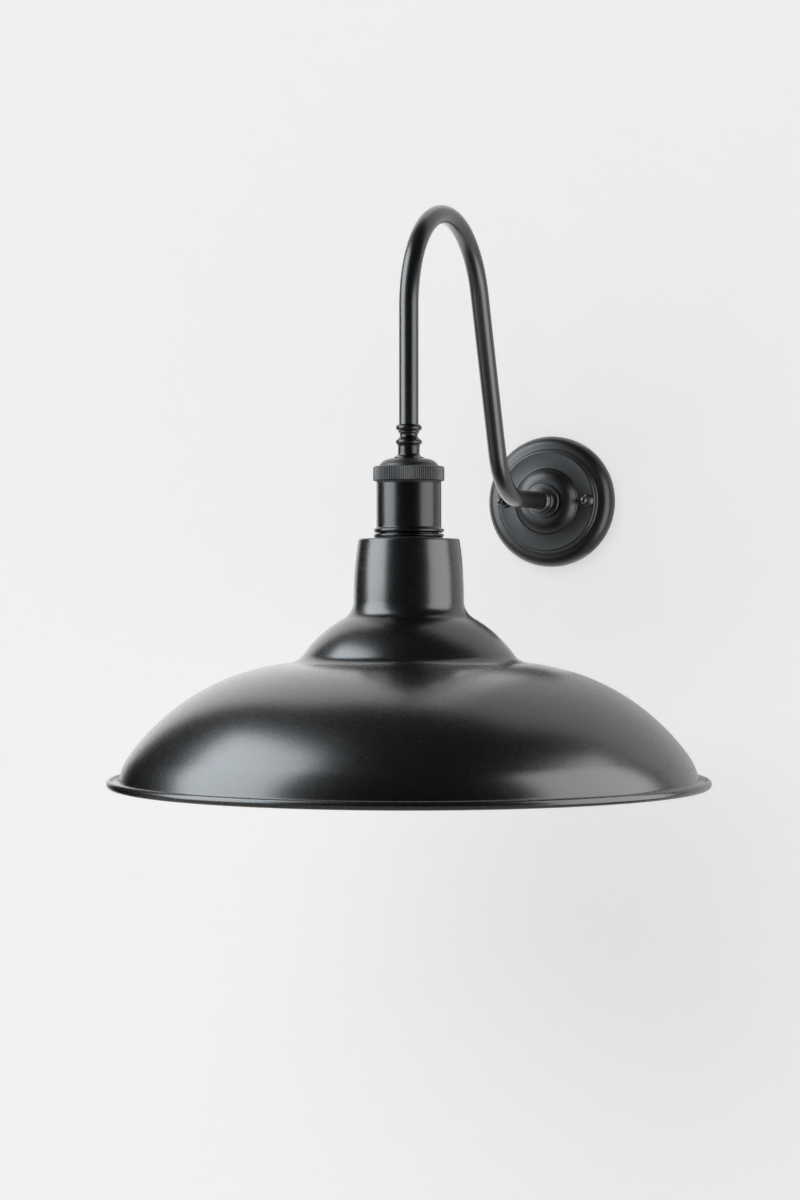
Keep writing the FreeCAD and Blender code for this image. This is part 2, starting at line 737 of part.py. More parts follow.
def bulb_filaments():
    """Four thin rods leaning out around the post."""
    rods = []
    for k in range(FILAMENTS):
        angle = (k + 0.5) * 2 * math.pi / FILAMENTS
        way = Vector(math.cos(angle), math.sin(angle), 0)
        top = Vector(0, -PROJECTION, STEM_BASE) + way * 4.0
        foot = Vector(0, -PROJECTION, FILAMENT_END) + way * 10.0
        rods.append(Part.makeCylinder(0.9, (foot - top).Length, top, foot - top))
    return Part.makeCompound(rods)


# ---- write every piece ----------------------------------------------------------------------------------
PIECES = {
    "wall_gasket": wall_gasket,
    "mounting_bracket": mounting_bracket,
    "rose_studs": rose_studs,
    "stud_locknuts": stud_locknuts,
    "rose_cover": rose_cover,
    "nut_washers": nut_washers,
    "ball_nut_left": lambda: ball_nut(-STUD_PITCH / 2),
    "ball_nut_right": lambda: ball_nut(STUD_PITCH / 2),
    "arm_collar": arm_collar,
    "wall_nipple": wall_nipple,
    "arm_lockwasher": arm_lockwasher,
    "arm_locknut": arm_locknut,
    "earth_screw": earth_screw,
    "earth_tag": earth_tag,
    "terminal_block": terminal_block,
    "terminal_inserts": terminal_inserts,
    "terminal_screws": terminal_screws,
    "swan_neck_arm": swan_neck_arm,
    "flex_cable": flex_cable,
    "arm_coupler": arm_coupler,
    "lamp_nipple": lamp_nipple,
    "cap_lockwasher": cap_lockwasher,
    "cap_locknut": cap_locknut,
    "holder_cap": holder_cap,
    "cap_seal": cap_seal,
    "holder_body": holder_body,
    "shade_ring_upper": shade_ring_upper,
    "shade_gasket": shade_gasket,
    "shade_ring_lower": shade_ring_lower,
    "shade": shade,
    "socket_insulator": socket_insulator,
    "socket_shell": socket_shell,
    "socket_side_contact": socket_side_contact,
    "socket_centre_contact": socket_centre_contact,
    "socket_terminal_screws": socket_terminal_screws,
    "lead_live": lead_live,
    "lead_neutral": lead_neutral,
    "lead_earth": lead_earth,
    "bulb_contact": bulb_contact,
    "bulb_cap_insulator": bulb_cap_insulator,
    "bulb_cap": bulb_cap,
    "bulb_globe": bulb_globe,
    "bulb_stem": bulb_stem,
    "bulb_filaments": bulb_filaments,
}


def main():
    os.makedirs("parts", exist_ok=True)
    for name, make in PIECES.items():
        shape = make()
        box = shape.optimalBoundingBox(False)
        shape.exportStep(f"parts/{name}.step")
        state = "ok" if shape.isValid() else "BAD"
        low = f"{box.XMin:.1f} {box.YMin:.1f} {box.ZMin:.1f}"
        high = f"{box.XMax:.1f} {box.YMax:.1f} {box.ZMax:.1f}"
        print(f"{name:24s} {len(shape.Solids)} solids  {state}  {shape.Volume:10.1f} mm3  {low} to {high}")


main()
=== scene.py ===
import math

import bmesh
import bpy
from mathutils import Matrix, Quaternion, Vector


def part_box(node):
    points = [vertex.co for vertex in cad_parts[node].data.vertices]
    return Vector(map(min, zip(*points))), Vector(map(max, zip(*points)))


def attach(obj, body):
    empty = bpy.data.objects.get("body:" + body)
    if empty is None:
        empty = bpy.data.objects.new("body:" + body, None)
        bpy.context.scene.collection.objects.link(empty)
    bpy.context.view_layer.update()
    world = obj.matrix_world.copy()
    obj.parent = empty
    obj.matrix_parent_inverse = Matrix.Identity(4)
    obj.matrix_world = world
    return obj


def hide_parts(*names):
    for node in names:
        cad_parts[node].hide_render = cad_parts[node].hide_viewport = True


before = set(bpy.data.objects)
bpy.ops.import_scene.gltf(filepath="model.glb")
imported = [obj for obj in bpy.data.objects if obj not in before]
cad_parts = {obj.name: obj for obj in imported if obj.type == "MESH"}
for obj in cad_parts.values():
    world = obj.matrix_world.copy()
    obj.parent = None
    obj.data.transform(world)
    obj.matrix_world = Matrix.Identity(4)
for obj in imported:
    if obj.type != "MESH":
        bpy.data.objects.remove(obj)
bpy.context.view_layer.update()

# The looks of an outdoor wall lantern: a spun shade under a swan-neck arm on a round wall rose.
# Everything is in metres, in the frame of the CAD model. The wall is the plane y = 0, and the lantern
# reaches from it towards -Y.

MM = 0.001
TAU = 2 * math.pi
LANTERN = "lantern"
BULB = "bulb"

# ---- places and sizes read from the frame ---------------------------------------------------------------
SHADE_LOW, SHADE_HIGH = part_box("shade")
AXIS_Y = (SHADE_LOW.y + SHADE_HIGH.y) / 2
SHADE_R = SHADE_HIGH.x
ROSE_LOW, ROSE_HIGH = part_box("rose_cover")
ROSE_R = ROSE_HIGH.x
ARM_LOW, ARM_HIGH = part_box("swan_neck_arm")
TUBE_R = ARM_HIGH.x
CAP_LOW, CAP_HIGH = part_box("holder_cap")
BODY_LOW, BODY_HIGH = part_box("holder_body")
COUPLER_LOW, COUPLER_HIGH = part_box("arm_coupler")
COLLAR_LOW, COLLAR_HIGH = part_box("arm_collar")
GLOBE_LOW, GLOBE_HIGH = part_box("bulb_globe")
LAMP_CAP_LOW, LAMP_CAP_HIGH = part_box("bulb_cap")

# ---- sizes that the frame's boxes don't give -------------------------------------------------------------
SHEET = 1.2 * MM
PAINT_EDGE = 0.25 * MM          # how far paint rounds a sharp edge
TUBE_WALL = 1.5 * MM
LOWER_BEND_R = 45.7 * MM
UPPER_BEND_R = 69.6 * MM
LEG_LEAN = math.radians(18.5)
FLUTES = 104                    # straight knurl of the holder's cap
STEPS_PER_FLUTE = 10
FLUTE_DEPTH = 0.4 * MM
THREAD_PITCH = 3.62857 * MM
THREAD_DEPTH = 0.4 * MM
THREAD_ROW = 0.3 * MM           # spacing of the rows of points that carry a thread

# ---- how meshes and materials are made -------------------------------------------------------------------
SAME_PLACE = 1e-7               # points this near to each other, or to the axis, are one point
SHARP_TURN = math.radians(22)   # a corner that turns less than this isn't rounded
HARD_EDGE = math.radians(35)    # an edge that turns more than this shades as an edge
KNURL_EDGE = math.radians(60)   # the same for flutes and threads, which turn more
NOISE_LOW = 0.3                 # most of a noise factor lies between these two
NOISE_HIGH = 0.7

# ---- camera and studio -----------------------------------------------------------------------------------
CAMERA_PLACE = (0.6491, -1.9254, -0.0682)
CAMERA_AZIMUTH = math.radians(21.96)    # how far to the right of straight on it stands
CAMERA_DROP = math.radians(0.205)       # how far it looks down
LENS = 79.1                             # focal length and sensor in millimetres
SENSOR_WIDTH = 36.0
STAGE_HALF = 3.0                        # half the width of wall and floor
STAGE_DEPTH = 4.5
FLOOR_Z = -0.95
CEILING_Z = 3.0
WALL_GLOW = 0.66
FLOOR_GLOW = 0.1
FLAG_LEFT = -0.57                       # the black cards leave the wall open between these two
FLAG_RIGHT = 0.41
FLAG_TOP = 0.93                         # and below this height
FLAG_FOOT = -0.9
FLAG_Y = -0.01


# ---- camera ----------------------------------------------------------------------------------------------
def make_camera():
    """Level with the shade's neck, 22 degrees to the right of straight on."""
    data = bpy.data.cameras.new("camera")
    data.sensor_width = SENSOR_WIDTH
    data.lens = LENS
    camera = bpy.data.objects.new("camera", data)
    camera.location = CAMERA_PLACE
    level = math.cos(CAMERA_DROP)
    forward = Vector((
        -math.sin(CAMERA_AZIMUTH) * level,
        math.cos(CAMERA_AZIMUTH) * level,
        -math.sin(CAMERA_DROP),
    ))
    camera.rotation_mode = "QUATERNION"
    camera.rotation_quaternion = forward.to_track_quat("-Z", "Y")
    bpy.context.collection.objects.link(camera)
    bpy.context.scene.camera = camera


make_camera()


# ---- mesh helpers ----------------------------------------------------------------------------------------
def arc_points(start, middle, end, step):
    """Points after start on the circle through three points in a plane."""
    ax, ay = start
    bx, by = middle
    cx, cy = end
    d = 2 * (ax * (by - cy) + bx * (cy - ay) + cx * (ay - by))
    a2, b2, c2 = ax * ax + ay * ay, bx * bx + by * by, cx * cx + cy * cy
    ux = (a2 * (by - cy) + b2 * (cy - ay) + c2 * (ay - by)) / d
    uy = (a2 * (cx - bx) + b2 * (ax - cx) + c2 * (bx - ax)) / d
    radius = math.hypot(ax - ux, ay - uy)
    first = math.atan2(ay - uy, ax - ux)
    to_middle = (math.atan2(by - uy, bx - ux) - first) % TAU
    to_end = (math.atan2(cy - uy, cx - ux) - first) % TAU
    sweep = to_end if to_middle < to_end else to_end - TAU
    count = max(3, math.ceil(abs(sweep) / step))
    turns = [first + sweep * k / count for k in range(1, count)]
    return [(ux + radius * math.cos(t), uy + radius * math.sin(t)) for t in turns] + [end]


def trace(points, step=math.radians(4)):
    """A fine line through an outline. A pair of points in it stands for an arc: its middle and its end."""
    line = [points[0]]
    for item in points[1:]:
        if isinstance(item[0], tuple):
            line += arc_points(line[-1], item[0], item[1], step)
        else:
            line.append(item)
    return line


def in_mm(points):
    """Turns an outline written in millimetres into metres."""
    return [tuple(in_mm(p)) if isinstance(p[0], tuple) else (p[0] * MM, p[1] * MM) for p in points]


def soften(line, radius):
    """Rounds the sharp corners of a closed line, as paint or tumbling does."""
    soft = []
    count = len(line)
    steps = 4
    for i, point in enumerate(line):
        p = Vector(point)
        back = Vector(line[i - 1]) - p
        ahead = Vector(line[(i + 1) % count]) - p
        turn = math.pi - back.angle(ahead, math.pi)
        on_axis = abs(point[0]) < SAME_PLACE
        if turn < SHARP_TURN or on_axis:
            soft.append(point)
            continue
        room = 0.4 * min(back.length, ahead.length)
        reach = min(radius * math.tan(turn / 2), room)
        start = p + back.normalized() * reach
        end = p + ahead.normalized() * reach
        for k in range(steps + 1):
            t = k / steps
            q = start * (1 - t) ** 2 + p * 2 * t * (1 - t) + end * t ** 2
            soft.append((q.x, q.y))
    return soft


def thickened(line, thickness):
    """A closed outline: an open line and its copy, moved to the left of its direction."""
    moved = []
    for i, point in enumerate(line):
        before = Vector(line[max(i - 1, 0)])
        after = Vector(line[min(i + 1, len(line) - 1)])
        along = (after - before).normalized()
        moved.append((point[0] - along.y * thickness, point[1] + along.x * thickness))
    return line + moved[::-1]


def on_shade_axis(radius, height, angle):
    """A place on a piece that is turned about the shade's upright axis."""
    return Vector((radius * math.cos(angle), AXIS_Y + radius * math.sin(angle), height))


def on_rose_axis(radius, depth, angle):
    """A place on a piece that is turned about the rose's axis, square to the wall."""
    return Vector((radius * math.cos(angle), -depth, radius * math.sin(angle)))


def about(centre_x):
    """The same for an axis that is moved sideways."""
    return lambda radius, depth, angle: on_rose_axis(radius, depth, angle) + Vector((centre_x, 0, 0))


def add_mesh(name, verts, faces, crease=HARD_EDGE):
    """A smooth-shaded mesh object whose normals point outwards and whose hard edges stay hard."""
    mesh = bpy.data.meshes.new(name)
    mesh.from_pydata(verts, [], faces)
    work = bmesh.new()
    work.from_mesh(mesh)
    bmesh.ops.remove_doubles(work, verts=work.verts, dist=SAME_PLACE)
    bmesh.ops.recalc_face_normals(work, faces=work.faces)
    work.to_mesh(mesh)
    work.free()
    mesh.shade_smooth()
    mesh.set_sharp_from_angle(angle=crease)
    piece = bpy.data.objects.new(name, mesh)
    bpy.context.collection.objects.link(piece)
    return piece


def lathe(name, line, place, segments, relief=None, crease=HARD_EDGE):
    """Turns a closed outline of (radius, height) points about an axis.

    relief(radius, height, angle) may change a radius.
    """
    verts = []
    rings = []
    for radius, height in line:
        if radius < SAME_PLACE:
            rings.append([len(verts)] * segments)
            verts.append(place(0.0, height, 0.0))
            continue
        rings.append(list(range(len(verts), len(verts) + segments)))
        for k in range(segments):
            angle = TAU * k / segments
            r = relief(radius, height, angle) if relief else radius
            verts.append(place(r, height, angle))
    faces = []
    for i, ring in enumerate(rings):
        other = rings[(i + 1) % len(rings)]
        for k in range(segments):
            j = (k + 1) % segments
            corners = []
            for v in (ring[k], ring[j], other[j], other[k]):
                if v not in corners:
                    corners.append(v)
            if len(corners) > 2:
                faces.append(corners)
    return add_mesh(name, verts, faces, crease)


def finish_piece(piece, node, body, material):
    """Hangs a made piece on its body in place of a CAD node."""
    piece.data.materials.append(material)
    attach(piece, body)
    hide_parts(node)


# ---- material helpers ------------------------------------------------------------------------------------
class Surface:
    """Builds one node material step by step."""

    def __init__(self, name):
        self.material = bpy.data.materials.new(name)
        self.material.use_nodes = True
        self.nodes = self.material.node_tree.nodes
        self.links = self.material.node_tree.links
        self.shader = self.nodes["Principled BSDF"]
        self.place = self.add("ShaderNodeTexCoord").outputs["Object"]
        self.normal = None

    def add(self, kind, **values):
        node = self.nodes.new(kind)
        for key, value in values.items():
            setattr(node, key, value)
        return node

    def noise(self, scale, detail=3.0, rough=0.5):
        """A noise factor over the object's own coordinates, in features per metre."""
        node = self.add("ShaderNodeTexNoise")
        node.inputs["Scale"].default_value = scale
        node.inputs["Detail"].default_value = detail
        node.inputs["Roughness"].default_value = rough
        self.links.new(self.place, node.inputs["Vector"])
        return node.outputs["Fac"]

    def rings(self, scale, axis):
        """A noise factor that only changes along one axis, as tool marks on a turned piece do."""
        split = self.add("ShaderNodeSeparateXYZ")
        self.links.new(self.place, split.inputs["Vector"])
        node = self.add("ShaderNodeTexNoise", noise_dimensions="1D")
        node.inputs["Scale"].default_value = scale
        node.inputs["Detail"].default_value = 3.0
        self.links.new(split.outputs[axis], node.inputs["W"])
        return node.outputs["Fac"]

    def spread(self, factor, low, high):
        """Maps a factor between two values."""
        node = self.add("ShaderNodeMapRange")
        node.inputs["From Min"].default_value = NOISE_LOW
        node.inputs["From Max"].default_value = NOISE_HIGH
        node.inputs["To Min"].default_value = low
        node.inputs["To Max"].default_value = high
        self.links.new(factor, node.inputs["Value"])
        return node.outputs["Result"]

    def shades(self, factor, dark, light, start=NOISE_LOW, end=NOISE_HIGH):
        """Maps a factor between two colours."""
        ramp = self.add("ShaderNodeValToRGB")
        ramp.color_ramp.elements[0].position = start
        ramp.color_ramp.elements[1].position = end
        ramp.color_ramp.elements[0].color = (*dark, 1)
        ramp.color_ramp.elements[1].color = (*light, 1)
        self.links.new(factor, ramp.inputs["Fac"])
        return ramp.outputs["Color"]

    def bump(self, factor, height, strength):
        """Adds a layer of relief, its height in metres."""
        node = self.add("ShaderNodeBump")
        node.inputs["Strength"].default_value = strength
        node.inputs["Distance"].default_value = height
        self.links.new(factor, node.inputs["Height"])
        if self.normal is not None:
            self.links.new(self.normal, node.inputs["Normal"])
        self.normal = node.outputs["Normal"]
        self.links.new(self.normal, self.shader.inputs["Normal"])

    def link(self, output, socket):
        """Feeds one of the shader's sockets."""
        self.links.new(output, self.shader.inputs[socket])

    def set(self, **values):
        """Fixed shader values, written with underscores for spaces."""
        for key, value in values.items():
            self.shader.inputs[key.replace("_", " ")].default_value = value


def black_paint(name, roughness=0.30, ring_axis=None, ring_height=3e-6, gloss=0.9):
    """Satin black stoving paint: fine orange peel, slightly uneven gloss, and any tool marks under it."""
    s = Surface(name)
    cloud = s.noise(28, 4)
    s.link(s.shades(cloud, (0.0022, 0.0023, 0.0026), (0.0042, 0.0042, 0.0044)), "Base Color")
    haze = s.noise(160, 5, 0.6)
    uneven = 0.012
    s.link(s.spread(haze, roughness - uneven, roughness + uneven), "Roughness")
    s.bump(s.noise(1500, 2), 1.5e-6, 0.5)
    if ring_axis:
        s.bump(s.rings(320, ring_axis), ring_height, 0.6)
    s.set(Specular_IOR_Level=gloss, IOR=1.5)
    return s.material


def plated_steel(name, tint=(0.60, 0.60, 0.57), warm=(0.66, 0.63, 0.54)):
    """Zinc plate: a grey metal with a faint yellow passivation and a fine grain."""
    s = Surface(name)
    s.link(s.shades(s.noise(90, 4), tint, warm), "Base Color")
    s.link(s.spread(s.noise(420, 4), 0.28, 0.42), "Roughness")
    s.bump(s.noise(2400, 3), 4e-6, 0.6)
    s.set(Metallic=1.0)
    return s.material


def brass(name):
    """Turned brass with fine tool marks."""
    s = Surface(name)
    s.link(s.shades(s.noise(70, 5), (0.62, 0.42, 0.17), (0.78, 0.57, 0.26)), "Base Color")
    s.link(s.spread(s.noise(300, 4), 0.22, 0.38), "Roughness")
    s.bump(s.rings(1400, "Z"), 3e-6, 0.5)
    s.set(Metallic=1.0)
    return s.material


def moulded(name, dark, light, roughness, grain=2e-6):
    """Moulded plastic or rubber with a fine grain and a soft variation of colour."""
    s = Surface(name)
    s.link(s.shades(s.noise(110, 4), dark, light), "Base Color")
    s.link(s.spread(s.noise(500, 3), roughness - 0.05, roughness + 0.06), "Roughness")
    s.bump(s.noise(3200, 2), grain, 0.7)
    return s.material


def clear_glass(name):
    """Thin blown glass with very slight waves."""
    s = Surface(name)
    s.link(s.shades(s.noise(25, 2), (0.96, 0.97, 0.96), (1.0, 1.0, 1.0)), "Base Color")
    s.link(s.spread(s.noise(60, 3), 0.0, 0.02), "Roughness")
    s.bump(s.noise(45, 2), 2e-5, 0.25)
    s.set(Transmission_Weight=1.0, IOR=1.47)
    return s.material


def striped_earth(name):
    """Green and yellow insulation, striped along its length."""
    s = Surface(name)
    s.link(s.shades(s.noise(260, 1), (0.03, 0.22, 0.03), (0.75, 0.55, 0.02), 0.49, 0.51), "Base Color")
    s.link(s.spread(s.noise(500, 3), 0.34, 0.44), "Roughness")
    s.bump(s.noise(3000, 2), 2e-6, 0.6)
    return s.material


def phosphor(name):
    """The yellow coat of an unlit LED filament."""
    s = Surface(name)
    s.link(s.shades(s.noise(1400, 3), (0.72, 0.42, 0.06), (0.92, 0.62, 0.14)), "Base Color")
    s.link(s.spread(s.noise(900, 3), 0.45, 0.6), "Roughness")
    s.bump(s.noise(2600, 3), 2e-5, 0.8)
    s.set(Subsurface_Weight=0.2, Subsurface_Scale=0.001)
    return s.material


PAINT = black_paint("satin_black")
SHADE_PAINT = black_paint("satin_black_spun", roughness=0.27, ring_axis="Z")
TURNED_PAINT = black_paint("satin_black_turned", roughness=0.27, ring_axis="Z", ring_height=2e-6, gloss=0.55)
ROSE_PAINT = black_paint("satin_black_pressed", roughness=0.34, ring_axis="Y", ring_height=2e-6, gloss=0.6)
MATT_PAINT = black_paint("matt_black_knurl", roughness=0.40)
STEEL = plated_steel("zinc_plate")
NICKEL = plated_steel("nickel_plate", (0.66, 0.64, 0.60), (0.72, 0.70, 0.66))
BRASS = brass("machined_brass")
SILICONE = moulded("silicone", (0.62, 0.62, 0.59), (0.72, 0.72, 0.69), 0.35)
RUBBER = moulded("black_rubber", (0.010, 0.010, 0.010), (0.022, 0.022, 0.022), 0.6, 5e-6)
SHEATH = moulded("cable_sheath", (0.012, 0.012, 0.012), (0.026, 0.026, 0.026), 0.5)
BROWN = moulded("brown_insulation", (0.10, 0.035, 0.015), (0.15, 0.055, 0.025), 0.38)
BLUE = moulded("blue_insulation", (0.012, 0.07, 0.34), (0.02, 0.10, 0.45), 0.38)
EARTH = striped_earth("earth_insulation")
NYLON = moulded("white_nylon", (0.70, 0.69, 0.63), (0.80, 0.79, 0.74), 0.4)
PHENOLIC = moulded("black_phenolic", (0.012, 0.011, 0.010), (0.026, 0.024, 0.022), 0.32)
LAMP_GLASS = moulded("lamp_glass_foot", (0.006, 0.005, 0.010), (0.012, 0.010, 0.018), 0.12)
SOLDER = plated_steel("solder", (0.48, 0.48, 0.47), (0.58, 0.58, 0.56))
GLASS = clear_glass("clear_glass")
PHOSPHOR = phosphor("led_phosphor")


# ---- shade -----------------------------------------------------------------------------------------------
def make_shade():
    """One spun sheet from the top plate to the gutter, with the rim rolled up outside it."""
    facets = 0.06                 # the facets of the CAD rim stop this much short of its circle
    r = SHADE_R / MM - facets
    top = SHADE_HIGH.z / MM
    base = SHADE_LOW.z / MM
    neck = r * 0.1685             # radius at the top of the neck
    outer = trace(in_mm([
        (20.2, top),
        (neck - 1.6, top),
        ((neck - 0.4, top - 0.5), (neck + 0.1, top - 1.8)),
        ((35.8, -52.0), (36.8, -75.0)),
        ((38.6, -81.8), (43.6, -86.7)),
        ((58.1, -97.15), (70.0, -110.45)),
        ((74.4, -114.4), (80.0, -116.2)),
        ((138.0, -134.8), (183.7, -175.2)),
        ((187.5, -181.15), (r - 9.6, base + 10.5)),
        (r - 8.4, base + 6.4),
        ((r - 7.3, base + 4.6), (r - 5.6, base + 4.0)),
        (r - 3.2, base + 4.0),
    ]), math.radians(1.5))
    inner = thickened(outer, -SHEET)[len(outer):]
    bead = trace(in_mm([
        (r - 2.9, base + 5.1),
        (r - 2.4, base + 5.9),
        ((r, base + 3.0), (r - 2.4, base + 0.1)),
        (r - 3.0, base + 1.2),
        (r - 3.1, base + 2.7),
    ]), math.radians(12))
    line = soften(outer + bead + inner, PAINT_EDGE)
    shade = lathe("shade_spun", line, on_shade_axis, 360)
    finish_piece(shade, "shade", LANTERN, SHADE_PAINT)


# ---- lampholder ------------------------------------------------------------------------------------------
def make_holder_cap():
    """Domed cap whose band is knurled with straight flutes."""
    band_r = CAP_HIGH.x
    base, top = CAP_LOW.z, CAP_HIGH.z
    band_top = base + 9.8 * MM
    line = soften(trace([
        (5.1 * MM, top),
        (11.0 * MM, top),
        ((16.9 * MM, top - 1.6 * MM), (19.9 * MM, top - 4.9 * MM)),
        (band_r - 1.1 * MM, band_top),
        (band_r, band_top - 0.7 * MM),
        (band_r, base + 0.6 * MM),
        (band_r - 0.6 * MM, base),
        (20.1 * MM, base),
        (20.1 * MM, base + 7.8 * MM),
        ((15.6 * MM, top - 3.3 * MM), (10.6 * MM, top - 2.0 * MM)),
        (5.1 * MM, top - 2.0 * MM),
    ]), PAINT_EDGE)

    def flutes(radius, height, angle):
        plain = band_r - 0.75 * MM
        if radius < plain:
            return radius
        wave = abs(math.sin(angle * FLUTES / 2))
        return radius - FLUTE_DEPTH * (1 - wave)

    cap = lathe("holder_cap_knurled", line, on_shade_axis, FLUTES * STEPS_PER_FLUTE, flutes, KNURL_EDGE)
    finish_piece(cap, "holder_cap", LANTERN, MATT_PAINT)


def make_holder_body():
    """Turned sleeve with a flared foot."""
    r = 21.57 * MM
    collar = BODY_HIGH.x
    base, top = BODY_LOW.z, BODY_HIGH.z
    line = soften(trace([
        (18.4 * MM, top),
        (20.0 * MM, top),
        (20.0 * MM, 3.2 * MM),
        (r - 0.1 * MM, 3.2 * MM),
        (r, 3.0 * MM),
        (r, -25.4 * MM),
        ((r + 0.4 * MM, -26.6 * MM), (collar - 0.4 * MM, -27.2 * MM)),
        ((collar, -28.4 * MM), (collar - 0.5 * MM, -29.5 * MM)),
        (r, -29.8 * MM),
        (20.0 * MM, -29.8 * MM),
        (20.0 * MM, base),
        (18.4 * MM, base),
    ]), 0.2 * MM)
    body = lathe("holder_sleeve", line, on_shade_axis, 144)
    finish_piece(body, "holder_body", LANTERN, TURNED_PAINT)


def make_upper_ring():
    """Rounded ring between the sleeve and the shade."""
    low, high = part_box("shade_ring_upper")
    r = high.x
    line = soften(trace([
        (20.05 * MM, high.z),
        (r - 0.9 * MM, high.z),
        ((r, (low.z + high.z) / 2), (r - 0.7 * MM, low.z)),
        (20.05 * MM, low.z),
    ]), 0.15 * MM)
    ring = lathe("shade_ring", line, on_shade_axis, 144)
    finish_piece(ring, "shade_ring_upper", LANTERN, TURNED_PAINT)


def thread_relief(crest, inward):
    """Changes a radius so that points at the crest radius follow a rounded helical thread."""
    def relief(radius, height, angle):
        off_crest = abs(radius - crest) > 0.01 * MM
        if off_crest:
            return radius
        phase = height / THREAD_PITCH - angle / TAU
        depth = THREAD_DEPTH * (0.5 - 0.5 * math.cos(TAU * phase))
        return radius - depth if inward else radius + depth
    return relief


def rows_between(radius, high, low):
    """Points down a wall, close enough together to carry a thread."""
    count = max(2, round((high - low) / THREAD_ROW))
    return [(radius, high + (low - high) * k / count) for k in range(count + 1)]


def make_socket_shell():
    """Brass shell with the lamp's rolled thread on its inside."""
    low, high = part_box("socket_shell")
    outer = high.x
    inner = outer - 0.5 * MM
    line = [(outer, high.z), (outer, low.z)] + rows_between(inner, high.z, low.z)[::-1]
    thread = thread_relief(inner, inward=False)
    shell = lathe("socket_shell_threaded", line, on_shade_axis, 96, thread, KNURL_EDGE)
    finish_piece(shell, "socket_shell", LANTERN, BRASS)


# ---- arm -------------------------------------------------------------------------------------------------
def arm_centreline():
    """(y, z) points along the arm, from the wall collar to the coupler, worked out from its box and bends."""
    reach = -ARM_LOW.y - TUBE_R
    top_z = ARM_HIGH.z - TUBE_R - UPPER_BEND_R
    centre = Vector((-reach + UPPER_BEND_R, top_z))
    normal = Vector((math.cos(LEG_LEAN), math.sin(LEG_LEAN)))
    turn = math.pi / 2 - LEG_LEAN
    offset = LOWER_BEND_R * ((1 - math.cos(turn)) * normal.y - math.sin(turn) * normal.x)
    level = (offset - centre.dot(normal) - UPPER_BEND_R) / normal.x
    points = [(ARM_HIGH.y, 0.0)]
    steps = 60
    for k in range(steps + 1):
        t = turn * k / steps
        points.append((-level - LOWER_BEND_R * math.sin(t), LOWER_BEND_R * (1 - math.cos(t))))
    for k in range(2 * steps + 1):
        t = LEG_LEAN + (math.pi - LEG_LEAN) * k / (2 * steps)
        points.append((centre.x + UPPER_BEND_R * math.cos(t), centre.y + UPPER_BEND_R * math.sin(t)))
    seat = 4.4 * MM               # how deep the tube goes into the coupler
    points.append((-reach, COUPLER_HIGH.z - seat))
    return points


def make_arm():
    """Bent tube, swept with its bore along the centreline."""
    segments = 64
    points = [Vector((0, y, z)) for y, z in arm_centreline()]
    bore = TUBE_R - TUBE_WALL
    verts = []
    faces = []
    for i, p in enumerate(points):
        along = (points[min(i + 1, len(points) - 1)] - points[max(i - 1, 0)]).normalized()
        side = Vector((1, 0, 0))
        up = along.cross(side)
        for radius in (TUBE_R, bore):
            for k in range(segments):
                a = TAU * k / segments
                verts.append(p + (side * math.cos(a) + up * math.sin(a)) * radius)

    def index(i, wall, k):
        """The number of point k in ring i, where wall is 0 outside and 1 in the bore."""
        return (2 * i + wall) * segments + k % segments

    for i in range(len(points) - 1):
        for wall in (0, 1):
            for k in range(segments):
                near = [index(i, wall, k), index(i, wall, k + 1)]
                far = [index(i + 1, wall, k + 1), index(i + 1, wall, k)]
                faces.append(near + far)
    for i in (0, len(points) - 1):
        for k in range(segments):
            faces.append([index(i, 0, k), index(i, 0, k + 1), index(i, 1, k + 1), index(i, 1, k)])
    arm = add_mesh("swan_neck_tube", verts, faces)
    finish_piece(arm, "swan_neck_arm", LANTERN, PAINT)


def make_coupler():
    """Turned coupler with two beads."""
    top, base = COUPLER_HIGH.z / MM, COUPLER_LOW.z / MM
    line = soften(trace(in_mm([
        (6.5, top),
        (7.4, top),
        (7.9, top - 0.6),
        ((8.7, 39.7), (7.9, 38.2)),
        (7.0, 37.6),
        (6.9, 36.7),
        ((5.9, 35.0), (6.6, 33.3)),
        (7.3, 32.6),
        (7.9, 32.0),
        ((8.8, 30.4), (7.9, 28.8)),
        (7.2, 27.6),
        (7.2, 23.4),
        ((7.9, 21.4), (9.9, 20.4)),
        (9.9, base),
        (5.0, base),
        (5.0, 28.0),
        (3.7, 28.0),
        (3.7, 37.6),
        (6.5, 37.6),
    ]), math.radians(8)), 0.2 * MM)
    coupler = lathe("arm_coupler_turned", line, on_shade_axis, 96)
    finish_piece(coupler, "arm_coupler", LANTERN, TURNED_PAINT)


# ---- wall end --------------------------------------------------------------------------------------------
def make_rose():
    """Pressed rose: skirt, quarter round, small step, raised disc and domed boss."""
    r = ROSE_R / MM
    back = -ROSE_HIGH.y / MM
    seat = -ROSE_LOW.y / MM
    disc = 17.5
    outer = trace(in_mm([
        (r, back),
        (r, 7.0),
        ((r - 2.4, 11.0), (r - 7.6, 13.4)),
        (r - 9.2, 13.7),
        ((r - 10.2, 14.2), (r - 10.8, 15.2)),
        ((r - 11.4, 16.9), (r - 13.0, disc)),
        (r - 24.1, disc),
        ((r - 24.8, 17.8), (r - 25.3, 18.5)),
        ((r - 29.8, 22.1), (r - 35.4, seat)),
        (5.1, seat),
    ]), math.radians(5))
    line = soften(thickened(outer, SHEET), PAINT_EDGE)
    rose = lathe("rose_cover_pressed", line, on_rose_axis, 240)
    finish_piece(rose, "rose_cover", LANTERN, ROSE_PAINT)


